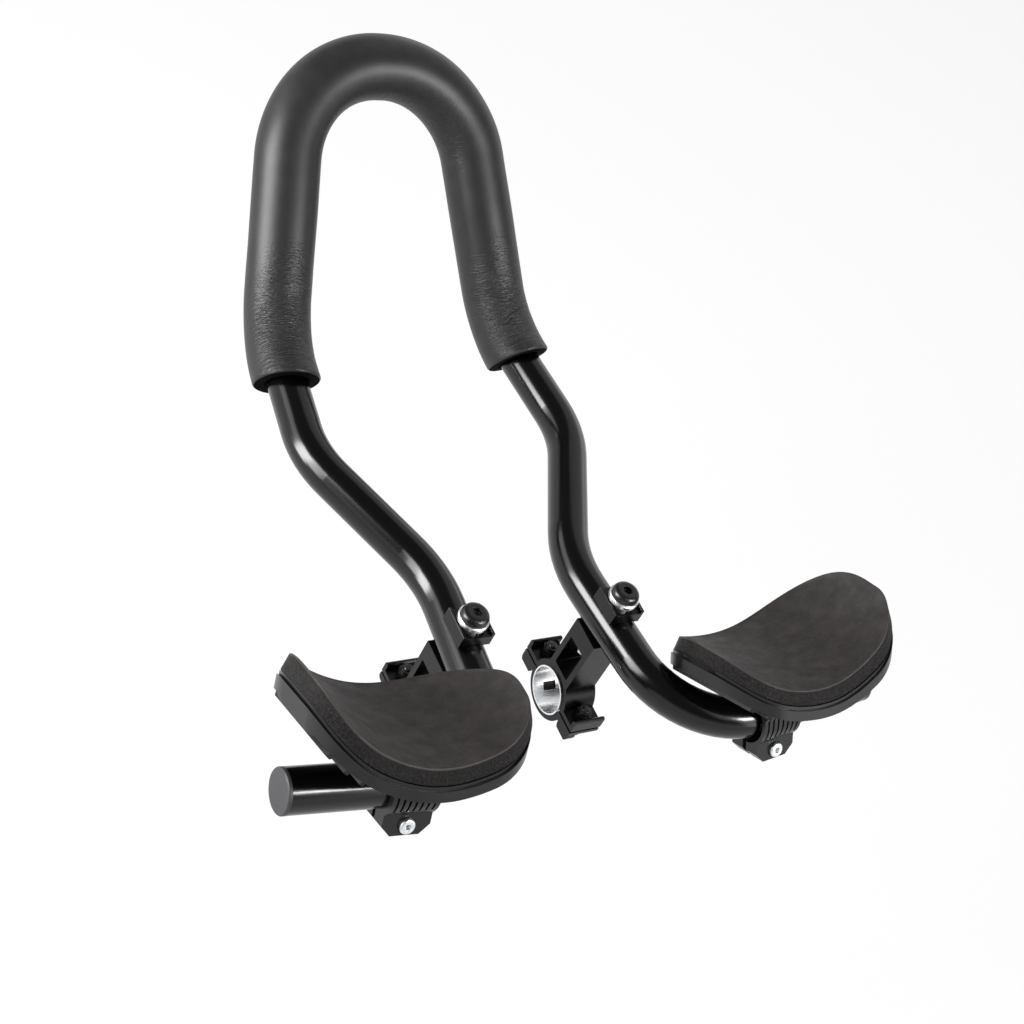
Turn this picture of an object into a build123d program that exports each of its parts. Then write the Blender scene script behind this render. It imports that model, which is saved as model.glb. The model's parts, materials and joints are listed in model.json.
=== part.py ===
from build123d import *
import os
from math import cos, radians, sin, tan

# Aero handlebar extension: one bent tube carrying a foam grip at the front, two clamps that
# hold it above a handlebar, and two tilting armrests with pads on its outward-bent tails.
# Origin: on the axis of the handlebar, midway between the two clamps.
# +X right, +Y forward, +Z up. The right half is modelled and the left half is its mirror image.

os.makedirs("parts", exist_ok=True)

# Bar tube
tube_od = 19.05
tube_wall = 1.6
grip_half_width = 44.8
grip_front_y = 269.2
grip_front_z = 147.7
knee_x = 62.6
knee_y = 176.8
knee_z = 59.1
bulge_x = 70.6
bulge_y = 107.5
bulge_z = 56.1
neck_x = 36.5
neck_y = 36.1
neck_z = 52.5
tail_x = 45.5
tail_y = -67.2
tail_z = 54.2
stub_length = 103.1
stub_toe = 5.1
stub_rise = 3.3
grip_bend = 50.0
knee_bend = 58.0
bulge_bend = 52.0
neck_bend = 60.0
tail_bend = 44.0

# Foam grip
foam_od = 31.4
foam_run = 1.0
foam_tail = 16.0
foam_cut_lean = 22.0
foam_edge = 0.8

# End caps
cap_flange = 1.8
cap_plug = 9.0
cap_edge = 0.5

# Handlebar clamps
handlebar_d = 22.2
shim_wall = 0.8
shim_overhang = 0.8
shim_slit = 1.6
window_length = 7.0
window_height = 4.2
window_angle = -50.0
clamp_width = 16.8
clamp_wall = 2.9
clamp_split = 1.2
arm_length = 17.6
arm_wall = 3.0
arm_roof = 8.8
arm_floor = 0.6
cradle_lip = 1.2
flange = 2.4
lip_wall = 2.2
lip_height = 6.4
lower_ear = 3.6
lobe_width = 4.6
lobe_drop = 3.2

# Clamp screws and nuts, M4
screw_d = 4.0
screw_head_d = 7.0
screw_head_h = 4.0
screw_key = 3.0
screw_tip = 0.9
nut_af = 7.0
nut_h = 3.2
nut_collar_d = 6.0
nut_collar_h = 1.8

# Saddle, bolt, washers and nut, M6
saddle_width = 16.0
saddle_length = 16.4
saddle_wall = 1.4
saddle_base = 5.0
saddle_skirt = 0.8
saddle_rim = 1.8
bolt_d = 6.0
bolt_head_d = 12.8
bolt_head_h = 3.6
bolt_dome = 2.6
bolt_key = 4.0
bolt_tip = 2.5
spring_washer_od = 12.4
spring_washer_h = 2.2
flat_washer_od = 14.4
flat_washer_h = 2.2
washer_edge = 0.5
big_nut_af = 10.0
big_nut_h = 5.0

# Armrests
rest_at = 46.0
rest_tilt = -33.0
left_slide = 4.2
left_turn = 5.2
trough_r = 59.8
trough_offset = 3.5
trough_flank = 62.0
rest_offset = 7.4
pad_height = 25.4
pad_thickness = 8.0
pad_half_width = 46.6
pad_front = 37.1
pad_rear = 34.5
pad_front_corner = 26.8
pad_inner_corner = 32.0
pad_rear_corner = 21.5
pad_rear_bow = 4.0
pad_bow_bend = 120.0
tray_rim = 3.0
tray_flank = 1.6
tray_floor = 2.4
tray_lip = 1.6
tray_band = 4.6
tray_step = 0.9
out_rib_count = 4
in_rib_count = 2
rib_last_out = 45.0
rib_last_in = 30.0
rib_pitch = 5.5
rib_wall = 1.6
rib_depth = 4.0
hoop_width = 22.0
hoop_wall = 3.0
hoop_relief = 9.5
hoop_relief_depth = 1.3
jaw_gap = 2.2
jaw_wall = 7.0
jaw_web = 1.6
jaw_foot = 4.6
jaw_corner = 4.4
fin_count = 8
fin_wall = 1.9
fin_hollow = 4.0
slot_depth = 1.7
slot_foot = 7.0
gusset_reach = 26.0

# Armrest screws and nuts, M4
rest_screw_d = 4.0
rest_head_d = 7.0
rest_head_h = 2.8
rest_key = 2.5
rest_screw_tip = 0.6
rest_head_sink = 0.8
rest_nut_sink = 0.2

# Fits
slip = 0.3
hole_play = 0.4
running = 0.08
seat = 0.15
overcut = 1.0
pick = 0.1

# Derived sizes
tube_r = tube_od / 2
foam_r = foam_od / 2
bore_r = handlebar_d / 2
shim_r = bore_r + shim_wall
ring_in = shim_r + running
ring_out = ring_in + clamp_wall
half_split = clamp_split / 2

grip_corner = Vector(grip_half_width, grip_front_y, grip_front_z)
knee = Vector(knee_x, knee_y, knee_z)
bulge = Vector(bulge_x, bulge_y, bulge_z)
neck = Vector(neck_x, neck_y, neck_z)
tail = Vector(tail_x, tail_y, tail_z)
stub_dir = Vector(
    cos(radians(stub_rise)) * cos(radians(stub_toe)),
    cos(radians(stub_rise)) * sin(radians(stub_toe)),
    sin(radians(stub_rise)),
)
stub_end = tail + stub_dir * stub_length


def flip(point):
    """The point's mirror image in the object's middle plane."""
    return Vector(-point.X, point.Y, point.Z)


def setback(before, corner, after, bend):
    """Distance from a corner of the bar to the start of its bend."""
    turn = (corner - before).get_angle(after - corner)
    return bend * tan(radians(turn / 2))


right_half = [grip_corner, knee, bulge, neck, tail, stub_end]
left_half = [flip(p) for p in reversed(right_half)]
bend_list = [grip_bend, knee_bend, bulge_bend, neck_bend, tail_bend]

# The straight run of each leg passes over the clamp: place and height of its axis there
leg_dir = (tail - neck).normalized()
clamp_at = neck + leg_dir * (-neck.Y / leg_dir.Y)
clamp_x = clamp_at.X
axis_z = clamp_at.Z
leg_top = axis_z + tube_r
leg_bottom = axis_z - tube_r

# Bar tube: a drawn tube bent at ten places, drilled for the two saddle bolts
with BuildPart() as bar_tube:
    with BuildLine() as bar_path:
        FilletPolyline(*left_half, *right_half, radius=[*reversed(bend_list), *bend_list])
    with BuildSketch(Plane(origin=left_half[0], z_dir=flip(stub_dir) * -1)) as bar_section:
        Circle(tube_r)
        Circle(tube_r - tube_wall, mode=Mode.SUBTRACT)
    sweep(path=bar_path.wires()[0])
    with BuildSketch(Plane.XY.offset(leg_bottom - tube_wall)) as bolt_holes:
        with Locations((clamp_x, 0), (-clamp_x, 0)):
            Circle(bolt_d / 2 + hole_play)
    extrude(amount=tube_od + 2 * tube_wall, mode=Mode.SUBTRACT)
bar_tube.part.label = "bar_tube"
export_step(bar_tube.part, "parts/bar_tube.step")

# Foam grip: a thick sleeve that follows the tube round the front and just past both knees.
# It was cut square before it was pushed round the knee, so its ends lean against the tube.
knee_setback = setback(grip_corner, knee, bulge, knee_bend)
leg_in = (knee - grip_corner).normalized()
leg_out = (bulge - knee).normalized()
foam_end = knee + leg_out * (knee_setback + foam_run)
foam_cut_dir = leg_out.rotate(Axis((0, 0, 0), leg_in.cross(leg_out)), -foam_cut_lean)
foam_right = [grip_corner, knee, foam_end + leg_out * foam_tail]
foam_left = [flip(p) for p in reversed(foam_right)]
foam_bends = [knee_bend, grip_bend, grip_bend, knee_bend]
foam_cuts = (
    Plane(origin=foam_end, z_dir=foam_cut_dir),
    Plane(origin=flip(foam_end), z_dir=flip(foam_cut_dir)),
)
with BuildPart() as foam_grip:
    with BuildLine() as foam_path:
        FilletPolyline(*foam_left, *foam_right, radius=foam_bends)
    with BuildSketch(Plane(origin=foam_left[0], z_dir=foam_left[1] - foam_left[0])) as foam_section:
        Circle(foam_r)
        Circle(tube_r + slip, mode=Mode.SUBTRACT)
    sweep(path=foam_path.wires()[0])
    with BuildSketch(*foam_cuts) as foam_trim:
        Circle(foam_od)
    extrude(amount=2 * foam_tail, mode=Mode.SUBTRACT)
    ends = foam_grip.faces().filter_by(GeomType.PLANE)
    fillet([f.outer_wire().edges()[0] for f in ends], foam_edge)
foam_grip.part.label = "foam_grip"
export_step(foam_grip.part, "parts/foam_grip.step")

# End cap: a flat disc flush with the tube, with a plug pushed into its bore
with BuildPart() as end_cap_right:
    with BuildSketch(Plane(origin=stub_end, z_dir=stub_dir)) as cap_disc:
        Circle(tube_r)
    extrude(amount=cap_flange)
    chamfer(end_cap_right.faces().sort_by(Axis(stub_end, stub_dir))[-1].edges(), cap_edge)
    with BuildSketch(Plane(origin=stub_end, z_dir=-stub_dir)) as cap_spigot:
        Circle(tube_r - tube_wall - running)
        Circle(tube_r - 2 * tube_wall - running, mode=Mode.SUBTRACT)
    extrude(amount=cap_plug)
end_cap_right.part.label = "end_cap_right"
export_step(end_cap_right.part, "parts/end_cap_right.step")

with BuildPart() as end_cap_left:
    mirror(end_cap_right.part, about=Plane.YZ)
end_cap_left.part.label = "end_cap_left"
export_step(end_cap_left.part, "parts/end_cap_left.step")

# Sizes of the handlebar clamp that follow from its screws, ring and tube
screw_y = ring_out + slip + nut_af / 2
lip_in = screw_y + nut_af / 2 + slip
ear_end = lip_in + lip_wall
arm_top = leg_bottom + cradle_lip
roof_z = leg_bottom - arm_roof
floor_z = ring_out + arm_floor
clamp_left_x = clamp_x - clamp_width / 2
clamp_side = Plane.YZ.offset(clamp_left_x)

# Upper clamp: half ring, nut-trap ears and a hollow arm up to a cradle for the tube
with BuildPart() as clamp_upper_right:
    with BuildSketch(clamp_side) as upper_profile:
        Circle(ring_out)
        with Locations((0, half_split)):
            Rectangle(2 * ear_end, flange, align=(Align.CENTER, Align.MIN))
        with Locations((lip_in, half_split), (-ear_end, half_split)):
            Rectangle(lip_wall, lip_height, align=(Align.MIN, Align.MIN))
        Rectangle(arm_length, arm_top, align=(Align.CENTER, Align.MIN))
        with Locations((0, floor_z)):
            Rectangle(
                arm_length - 2 * arm_wall,
                roof_z - floor_z,
                align=(Align.CENTER, Align.MIN),
                mode=Mode.SUBTRACT,
            )
        Circle(ring_in, mode=Mode.SUBTRACT)
        with Locations((0, half_split)):
            Rectangle(
                4 * ear_end, 2 * ear_end, align=(Align.CENTER, Align.MAX), mode=Mode.SUBTRACT
            )
    extrude(amount=clamp_width)
    pocket_edges = (
        clamp_upper_right.edges()
        .filter_by(Axis.X)
        .filter_by(lambda e: floor_z - pick < e.center().Z < roof_z + pick)
        .filter_by(lambda e: abs(e.center().Y) < arm_length / 2 - arm_wall / 2)
    )
    fillet(pocket_edges, arm_wall / 4)
    lip_tops = (
        clamp_upper_right.edges()
        .filter_by(Axis.X)
        .filter_by(lambda e: abs(e.center().Y) > lip_in - pick)
        .filter_by(lambda e: e.center().Z > half_split + lip_height - pick)
    )
    chamfer(lip_tops, lip_wall * 0.3)
    with BuildSketch(Plane(origin=clamp_at, z_dir=leg_dir)) as cradle_bore:
        Circle(tube_r + slip)
    extrude(amount=2 * arm_length, both=True, mode=Mode.SUBTRACT)
    with BuildSketch(Plane.XY.offset(roof_z - overcut)) as bolt_bore:
        with Locations((clamp_x, 0)):
            Circle(bolt_d / 2 + hole_play)
    extrude(amount=arm_roof + tube_r + overcut, mode=Mode.SUBTRACT)
    with BuildSketch(Plane.XY) as ear_bores:
        with Locations((clamp_x, screw_y), (clamp_x, -screw_y)):
            Circle(screw_d / 2 + hole_play)
    extrude(amount=half_split + lip_height, mode=Mode.SUBTRACT)
clamp_upper_right.part.label = "clamp_upper_right"
export_step(clamp_upper_right.part, "parts/clamp_upper_right.step")

with BuildPart() as clamp_upper_left:
    mirror(clamp_upper_right.part, about=Plane.YZ)
clamp_upper_left.part.label = "clamp_upper_left"
export_step(clamp_upper_left.part, "parts/clamp_upper_left.step")

# Lower clamp: half ring with two round-ended ears and a stiffening lobe on the inner side
ear_under = half_split + lower_ear
with BuildPart() as clamp_lower_right:
    with BuildSketch(clamp_side) as lower_profile:
        Circle(ring_out)
        with Locations((0, -half_split)):
            Rectangle(2 * ear_end, lower_ear, align=(Align.CENTER, Align.MAX))
        Circle(ring_in, mode=Mode.SUBTRACT)
        with Locations((0, -half_split)):
            Rectangle(
                4 * ear_end, 2 * ear_end, align=(Align.CENTER, Align.MIN), mode=Mode.SUBTRACT
            )
    extrude(amount=clamp_width)
    ear_corners = (
        clamp_lower_right.edges()
        .filter_by(Axis.X)
        .filter_by(lambda e: abs(e.center().Y) > ear_end - pick)
        .filter_by(lambda e: e.center().Z < -ear_under + pick)
    )
    fillet(ear_corners, lower_ear * 0.6)
    lobe_r = (ear_end - ring_out) / 2
    with BuildSketch(clamp_side) as lobes:
        with Locations((ear_end - lobe_r, -ear_under), (lobe_r - ear_end, -ear_under)):
            Circle(lobe_r)
        with Locations((0, -half_split)):
            Rectangle(
                4 * ear_end, 2 * ear_end, align=(Align.CENTER, Align.MIN), mode=Mode.SUBTRACT
            )
        with Locations((0, -ear_under - lobe_drop)):
            Rectangle(
                4 * ear_end, 2 * ear_end, align=(Align.CENTER, Align.MAX), mode=Mode.SUBTRACT
            )
    extrude(amount=lobe_width)
    with BuildSketch(Plane.XY.offset(-half_split)) as lower_bores:
        with Locations((clamp_x, screw_y), (clamp_x, -screw_y)):
            Circle(screw_d / 2 + hole_play)
    extrude(amount=-2 * lower_ear, mode=Mode.SUBTRACT)
    with BuildSketch(Plane.XY.offset(-ear_under)) as head_room:
        with Locations((clamp_x, screw_y), (clamp_x, -screw_y)):
            Circle(screw_head_d / 2 + slip)
    extrude(amount=-2 * lower_ear, mode=Mode.SUBTRACT)
clamp_lower_right.part.label = "clamp_lower_right"
export_step(clamp_lower_right.part, "parts/clamp_lower_right.step")

with BuildPart() as clamp_lower_left:
    mirror(clamp_lower_right.part, about=Plane.YZ)
clamp_lower_left.part.label = "clamp_lower_left"
export_step(clamp_lower_left.part, "parts/clamp_lower_left.step")

# Shim: a split aluminium sleeve in the clamp, with a window in its lower front wall
shim_length = clamp_width + 2 * shim_overhang
with BuildPart() as clamp_shim_right:
    with BuildSketch(Plane.YZ.offset(clamp_left_x - shim_overhang)) as shim_section:
        Circle(shim_r)
        Circle(bore_r, mode=Mode.SUBTRACT)
        with Locations((-shim_r, 0)):
            Rectangle(shim_r, shim_slit, mode=Mode.SUBTRACT)
    extrude(amount=shim_length)
    window_dir = (0, cos(radians(window_angle)), sin(radians(window_angle)))
    with BuildSketch(Plane(origin=(clamp_x, 0, 0), x_dir=(1, 0, 0), z_dir=window_dir)) as window:
        Rectangle(window_length, window_height)
    extrude(amount=2 * shim_r, mode=Mode.SUBTRACT)
clamp_shim_right.part.label = "clamp_shim_right"
export_step(clamp_shim_right.part, "parts/clamp_shim_right.step")

with BuildPart() as clamp_shim_left:
    mirror(clamp_shim_right.part, about=Plane.YZ)
clamp_shim_left.part.label = "clamp_shim_left"
export_step(clamp_shim_left.part, "parts/clamp_shim_left.step")

# Clamp screws: socket heads under the lower ears, tips standing out of the nuts above
flange_top = half_split + flange
with BuildPart() as clamp_screws_right:
    with BuildSketch(Plane.XY.offset(-ear_under)) as screw_heads:
        with Locations((clamp_x, screw_y), (clamp_x, -screw_y)):
            Circle(screw_head_d / 2)
    extrude(amount=-screw_head_h)
    with BuildSketch(Plane.XY.offset(-ear_under)) as screw_shanks:
        with Locations((clamp_x, screw_y), (clamp_x, -screw_y)):
            Circle(screw_d / 2)
    extrude(amount=ear_under + flange_top + nut_h + nut_collar_h + screw_tip)
    with BuildSketch(Plane.XY.offset(-ear_under - screw_head_h)) as screw_keys:
        with Locations((clamp_x, screw_y), (clamp_x, -screw_y)):
            RegularPolygon(screw_key / 2, 6, major_radius=False)
    extrude(amount=screw_head_h / 2, mode=Mode.SUBTRACT)
    chamfer(clamp_screws_right.faces().group_by(Axis.Z)[-1].edges(), screw_d / 8)
clamp_screws_right.part.label = "clamp_screws_right"
export_step(clamp_screws_right.part, "parts/clamp_screws_right.step")

with BuildPart() as clamp_screws_left:
    mirror(clamp_screws_right.part, about=Plane.YZ)
clamp_screws_left.part.label = "clamp_screws_left"
export_step(clamp_screws_left.part, "parts/clamp_screws_left.step")

# Clamp nuts: lock nuts with a round collar, caught between the ring and the lips
with BuildPart() as clamp_nuts_right:
    with BuildSketch(Plane.XY.offset(flange_top)) as nut_section:
        with Locations((clamp_x, screw_y), (clamp_x, -screw_y)):
            RegularPolygon(nut_af / 2, 6, major_radius=False)
            Circle(screw_d / 2 + running, mode=Mode.SUBTRACT)
    extrude(amount=nut_h)
    with BuildSketch(Plane.XY.offset(flange_top + nut_h)) as nut_collars:
        with Locations((clamp_x, screw_y), (clamp_x, -screw_y)):
            Circle(nut_collar_d / 2)
            Circle(screw_d / 2 + running, mode=Mode.SUBTRACT)
    extrude(amount=nut_collar_h)
clamp_nuts_right.part.label = "clamp_nuts_right"
export_step(clamp_nuts_right.part, "parts/clamp_nuts_right.step")

with BuildPart() as clamp_nuts_left:
    mirror(clamp_nuts_right.part, about=Plane.YZ)
clamp_nuts_left.part.label = "clamp_nuts_left"
export_step(clamp_nuts_left.part, "parts/clamp_nuts_left.step")

# Saddle: a channel on top of the tube that the bolt and its washers pull down
saddle_bottom = leg_top - saddle_skirt
saddle_seat = leg_top + saddle_base
with BuildPart() as saddle_right:
    with BuildSketch(Plane.XZ.offset(-saddle_length / 2)) as saddle_profile:
        with Locations((clamp_x, saddle_bottom)):
            Rectangle(
                saddle_width,
                saddle_skirt + saddle_base + saddle_rim,
                align=(Align.CENTER, Align.MIN),
            )
        with Locations((clamp_x, saddle_seat)):
            Rectangle(
                saddle_width - 2 * saddle_wall,
                2 * saddle_rim,
                align=(Align.CENTER, Align.MIN),
                mode=Mode.SUBTRACT,
            )
    extrude(amount=saddle_length)
    saddle_rims = saddle_right.faces().group_by(Axis.Z)[-1].edges().filter_by(Axis.Y)
    chamfer(saddle_rims, saddle_wall * 0.25)
    with BuildSketch(Plane(origin=clamp_at, z_dir=leg_dir)) as saddle_bore:
        Circle(tube_r + slip)
    extrude(amount=2 * saddle_length, both=True, mode=Mode.SUBTRACT)
    with BuildSketch(Plane.XY.offset(axis_z)) as saddle_hole:
        with Locations((clamp_x, 0)):
            Circle(bolt_d / 2 + hole_play)
    extrude(amount=tube_r + 2 * saddle_base, mode=Mode.SUBTRACT)
saddle_right.part.label = "saddle_right"
export_step(saddle_right.part, "parts/saddle_right.step")

with BuildPart() as saddle_left:
    mirror(saddle_right.part, about=Plane.YZ)
saddle_left.part.label = "saddle_left"
export_step(saddle_left.part, "parts/saddle_left.step")

# Spring washer: a cut ring on the saddle
with BuildPart() as spring_washer_right:
    with BuildSketch(Plane.XY.offset(saddle_seat)) as spring_ring:
        with Locations((clamp_x, 0)):
            Circle(spring_washer_od / 2)
            Circle(bolt_d / 2 + hole_play, mode=Mode.SUBTRACT)
        with Locations((clamp_x, -spring_washer_od / 2)):
            Rectangle(spring_washer_h / 2, spring_washer_od, rotation=20, mode=Mode.SUBTRACT)
    extrude(amount=spring_washer_h)
spring_washer_right.part.label = "spring_washer_right"
export_step(spring_washer_right.part, "parts/spring_washer_right.step")

with BuildPart() as spring_washer_left:
    mirror(spring_washer_right.part, about=Plane.YZ)
spring_washer_left.part.label = "spring_washer_left"
export_step(spring_washer_left.part, "parts/spring_washer_left.step")

# Flat washer between the spring washer and the bolt head
washer_z = saddle_seat + spring_washer_h
with BuildPart() as flat_washer_right:
    with BuildSketch(Plane.XY.offset(washer_z)) as washer_ring:
        with Locations((clamp_x, 0)):
            Circle(flat_washer_od / 2)
            Circle(bolt_d / 2 + hole_play, mode=Mode.SUBTRACT)
    extrude(amount=flat_washer_h)
    washer_rim = flat_washer_right.faces().sort_by(Axis.Z)[-1].outer_wire()
    chamfer(washer_rim.edges(), washer_edge)
flat_washer_right.part.label = "flat_washer_right"
export_step(flat_washer_right.part, "parts/flat_washer_right.step")

with BuildPart() as flat_washer_left:
    mirror(flat_washer_right.part, about=Plane.YZ)
flat_washer_left.part.label = "flat_washer_left"
export_step(flat_washer_left.part, "parts/flat_washer_left.step")

# Saddle bolt: a domed head with a hexagon socket, down through tube and arm to the nut
head_z = washer_z + flat_washer_h
with BuildPart() as saddle_bolt_right:
    with BuildSketch(Plane.XY.offset(head_z)) as bolt_head:
        with Locations((clamp_x, 0)):
            Circle(bolt_head_d / 2)
    extrude(amount=bolt_head_h)
    fillet(saddle_bolt_right.faces().sort_by(Axis.Z)[-1].edges(), bolt_dome)
    with BuildSketch(Plane.XY.offset(head_z + bolt_head_h)) as bolt_socket:
        with Locations((clamp_x, 0)):
            RegularPolygon(bolt_key / 2, 6, major_radius=False, rotation=12)
    extrude(amount=-bolt_head_h * 0.6, mode=Mode.SUBTRACT)
    with BuildSketch(Plane.XY.offset(roof_z - big_nut_h - bolt_tip)) as bolt_shank:
        with Locations((clamp_x, 0)):
            Circle(bolt_d / 2)
    extrude(amount=head_z - roof_z + big_nut_h + bolt_tip)
    chamfer(saddle_bolt_right.faces().sort_by(Axis.Z)[0].edges(), bolt_d / 8)
saddle_bolt_right.part.label = "saddle_bolt_right"
export_step(saddle_bolt_right.part, "parts/saddle_bolt_right.step")

with BuildPart() as saddle_bolt_left:
    mirror(saddle_bolt_right.part, about=Plane.YZ)
saddle_bolt_left.part.label = "saddle_bolt_left"
export_step(saddle_bolt_left.part, "parts/saddle_bolt_left.step")

# Saddle nut: under the roof of the arm's pocket, kept from turning by the pocket's walls
with BuildPart() as saddle_nut_right:
    with BuildSketch(Plane.XY.offset(roof_z)) as big_nut:
        with Locations((clamp_x, 0)):
            RegularPolygon(big_nut_af / 2, 6, major_radius=False)
            Circle(bolt_d / 2 + running, mode=Mode.SUBTRACT)
    extrude(amount=-big_nut_h)
saddle_nut_right.part.label = "saddle_nut_right"
export_step(saddle_nut_right.part, "parts/saddle_nut_right.step")

with BuildPart() as saddle_nut_left:
    mirror(saddle_nut_right.part, about=Plane.YZ)
saddle_nut_left.part.label = "saddle_nut_left"
export_step(saddle_nut_left.part, "parts/saddle_nut_left.step")

# Armrest frame: local x outward along the stub, y forward, z up out of the tray
rest_origin = tail + stub_dir * rest_at
level = Plane(origin=rest_origin, x_dir=stub_dir, z_dir=Vector(0, 0, 1) - stub_dir * stub_dir.Z)
lean = radians(rest_tilt)
rest = Plane(
    origin=rest_origin,
    x_dir=stub_dir,
    z_dir=level.z_dir * cos(lean) - level.y_dir * sin(lean),
)
across = Plane(origin=rest.origin, x_dir=rest.x_dir, z_dir=-rest.y_dir)
along = Plane(origin=rest.origin, x_dir=rest.y_dir, z_dir=rest.x_dir)
pad_under = trough_r + pad_thickness
floor_top = pad_under + seat
floor_under = floor_top + tray_floor
trough_z = pad_height + trough_r
reach = pad_front + pad_rear + 4 * tray_rim
span = 2 * pad_half_width + 8 * tray_rim


left_stub = Plane(origin=flip(rest.origin), z_dir=flip(stub_dir))
left_set = (
    left_stub.location * Pos(0, 0, left_slide) * Rot(0, 0, -left_turn) * left_stub.location.inverse()
)


def set_left(part):
    """The right piece's mirror image, set on the left stub a little further out and less steep."""
    return part.mirror(Plane.YZ).moved(left_set)


def rest_outline(grow, trim=0):
    """Plan of the pad, grown evenly but for a trim off both flanks: bowed rear, round corners."""
    left = rest_offset - pad_half_width - grow + trim
    right = rest_offset + pad_half_width + grow - trim
    front = pad_front + grow
    rear = -pad_rear - grow
    with BuildLine() as outline:
        FilletPolyline(
            (left, front),
            (right, front),
            (right, rear + pad_rear_bow),
            (rest_offset, rear),
            (left, rear + pad_rear_bow),
            radius=[
                pad_inner_corner + grow,
                pad_front_corner + grow,
                pad_rear_corner + grow,
                pad_bow_bend + grow,
                pad_rear_corner + grow,
            ],
            close=True,
        )
    make_face(outline.edges())


def flank_point(radius, side, run):
    """Point on a flank of the trough, run millimetres up from where its round floor ends."""
    lean_out = radians(trough_flank)
    return (
        trough_offset + side * (radius * sin(lean_out) + run * cos(lean_out)),
        trough_z - radius * cos(lean_out) + run * sin(lean_out),
    )


def trough(inner, outer):
    """Section of the trough between two radii: a round floor with straight flanks beyond it."""
    with BuildLine() as outline:
        for radius in (inner, outer):
            ThreePointArc(
                flank_point(radius, -1, 0),
                (trough_offset, trough_z - radius),
                flank_point(radius, 1, 0),
            )
        for side in (-1, 1):
            Polyline(
                flank_point(inner, side, 0),
                flank_point(inner, side, trough_r),
                flank_point(outer, side, trough_r),
                flank_point(outer, side, 0),
            )
    make_face(outline.edges())


front_face = across.offset(-pad_front - 2 * tray_rim)
rim_grow = slip + tray_rim
flank_trim = tray_rim - tray_flank

# Arm pad: a foam slab bent into a trough round the forearm
with BuildPart() as arm_pad_right:
    with BuildSketch(front_face) as pad_section:
        trough(trough_r, pad_under)
    extrude(amount=reach)
    with BuildSketch(rest) as pad_plan:
        rest_outline(0)
    extrude(amount=trough_z, mode=Mode.INTERSECT)
arm_pad_right.part.label = "arm_pad_right"
export_step(arm_pad_right.part, "parts/arm_pad_right.step")

with BuildPart() as arm_pad_left:
    add(set_left(arm_pad_right.part))
arm_pad_left.part.label = "arm_pad_left"
export_step(arm_pad_left.part, "parts/arm_pad_left.step")

# Room for the pad inside the tray's lip
with BuildPart() as pad_room:
    with BuildSketch(front_face) as room_section:
        trough(trough_r, floor_top)
    extrude(amount=reach)
    with BuildSketch(rest) as room_plan:
        rest_outline(slip)
    extrude(amount=trough_z, mode=Mode.INTERSECT)

# Hollow under the tray's floor, inside its skirt
with BuildPart() as skirt_room:
    with BuildSketch(front_face) as skirt_section:
        trough(floor_under, floor_under + 2 * tray_band)
    extrude(amount=reach)
    with BuildSketch(rest.offset(-2 * tray_band)) as skirt_plan:
        rest_outline(slip)
    extrude(amount=trough_z, mode=Mode.INTERSECT)

# Step round the rim: the lip stands in a little from the band below it
with BuildPart() as rim_step:
    with BuildSketch(front_face) as step_section:
        trough(trough_r, floor_top)
    extrude(amount=reach)
    with BuildSketch(rest) as step_plan:
        rest_outline(rim_grow + tray_step)
    extrude(amount=trough_z, mode=Mode.INTERSECT)
    with BuildSketch(rest) as lip_plan:
        rest_outline(rim_grow - tray_step, flank_trim)
    extrude(amount=trough_z, mode=Mode.SUBTRACT)

# Ribs under both flanks of the tray
with BuildPart() as flank_ribs:
    with BuildSketch(front_face) as rib_section:
        for side, count, last in ((1, out_rib_count, rib_last_out), (-1, in_rib_count, rib_last_in)):
            for step in range(count):
                swing = side * (last - step * rib_pitch)
                ray = Vector(sin(radians(swing)), -cos(radians(swing)))
                middle = ray * (floor_under + rib_depth / 2 - seat)
                with Locations((trough_offset + middle.X, trough_z + middle.Y)):
                    Rectangle(rib_wall, rib_depth, rotation=swing)
    extrude(amount=reach)
    with BuildSketch(rest) as rib_plan:
        rest_outline(slip + tray_flank / 2)
    extrude(amount=trough_z, mode=Mode.INTERSECT)

# Hoop round the stub with two jaws below it, and fins behind it that flare up to the tray's floor
hoop_in = tube_r + running
hoop_out = hoop_in + hoop_wall
jaw_half = jaw_gap / 2 + jaw_wall
rest_screw_z = -hoop_in - jaw_web - rest_head_d / 2
jaw_bottom = rest_screw_z - jaw_foot
gusset_top = (-gusset_reach, trough_z - floor_under)
gusset_foot = (-jaw_half, rest_screw_z + rest_head_d / 2 + jaw_web)
gusset_mid = (
    (gusset_top[0] + gusset_foot[0]) / 2 + fin_hollow * 0.8,
    (gusset_top[1] + gusset_foot[1]) / 2 + fin_hollow * 0.6,
)


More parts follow.
